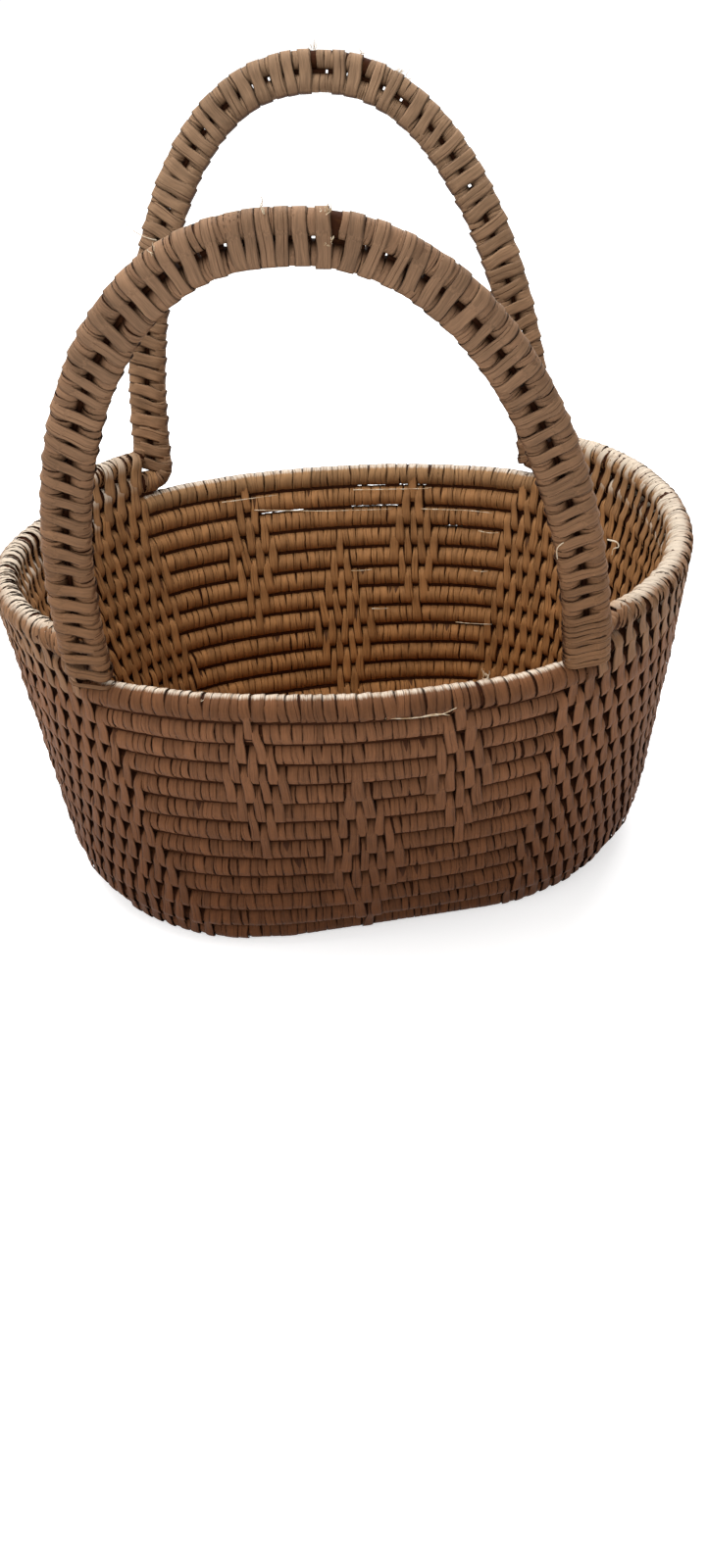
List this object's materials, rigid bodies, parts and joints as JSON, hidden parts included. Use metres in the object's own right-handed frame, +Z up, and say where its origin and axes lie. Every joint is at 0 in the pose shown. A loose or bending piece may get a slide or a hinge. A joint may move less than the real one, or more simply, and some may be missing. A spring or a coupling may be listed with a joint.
{
  "type": "coiled grass storage basket",
  "caption": "Open oval storage basket wound from a thick bundle of dried grass, wrapped with flat strips, with two tall upright arched handles.",
  "frame": {"origin": "centre of the bounding box at the surface that the basket stands on", "axes": "+Z up, +X along the oval's long side, -Y towards the near handle"},
  "size_m": [0.3356, 0.3187, 0.3651],
  "materials": {
    "wall_straw": "dried grass strip, satin",
    "rim_straw": "pale dried grass strip, satin",
    "handle_straw": "dried grass strip, satin",
    "base_straw": "dried grass strip, matt",
    "binding_straw": "dried grass strip, satin"
  },
  "bodies": {
    "basket": {"base_coil_01": "base_straw", "base_coil_02": "base_straw", "base_coil_03": "base_straw", "base_coil_04": "base_straw", "base_coil_05": "base_straw", "base_coil_06": "base_straw", "base_coil_07": "base_straw", "wall_coil_01": "wall_straw", "wall_coil_02": "wall_straw", "wall_coil_03": "wall_straw", "wall_coil_04": "wall_straw", "wall_coil_05": "wall_straw", "wall_coil_06": "wall_straw", "wall_coil_07": "wall_straw", "wall_coil_08": "wall_straw", "wall_coil_09": "wall_straw", "wall_coil_10": "wall_straw", "wall_coil_11": "wall_straw", "wall_coil_12": "wall_straw", "rim_coil": "rim_straw", "right_end_lower_coil": "rim_straw", "right_end_upper_coil": "rim_straw", "left_end_lower_coil": "rim_straw", "left_end_upper_coil": "rim_straw", "left_end_tail_coil": "rim_straw"},
    "front_handle": {"front_handle_inner_rod": "handle_straw", "front_handle_outer_rod": "handle_straw", "front_handle_right_foot_binding": "binding_straw", "front_handle_crown_binding": "binding_straw", "front_handle_left_foot_binding": "binding_straw"},
    "back_handle": {"back_handle_inner_rod": "handle_straw", "back_handle_outer_rod": "handle_straw", "back_handle_right_foot_binding": "binding_straw", "back_handle_crown_binding": "binding_straw", "back_handle_left_foot_binding": "binding_straw"}
  },
  "joints": [
    {"name": "front_handle_lean", "type": "hinge", "parent": "basket", "child": "front_handle", "pos_m": [0, -0.107, 0.164], "axis": [-1, 0, 0], "range_deg": [-8, 12], "stiffness_Nm_per_rad": 1.5},
    {"name": "back_handle_lean", "type": "hinge", "parent": "basket", "child": "back_handle", "pos_m": [0, 0.107, 0.155], "axis": [1, 0, 0], "range_deg": [-8, 12], "stiffness_Nm_per_rad": 1.5}
  ]
}
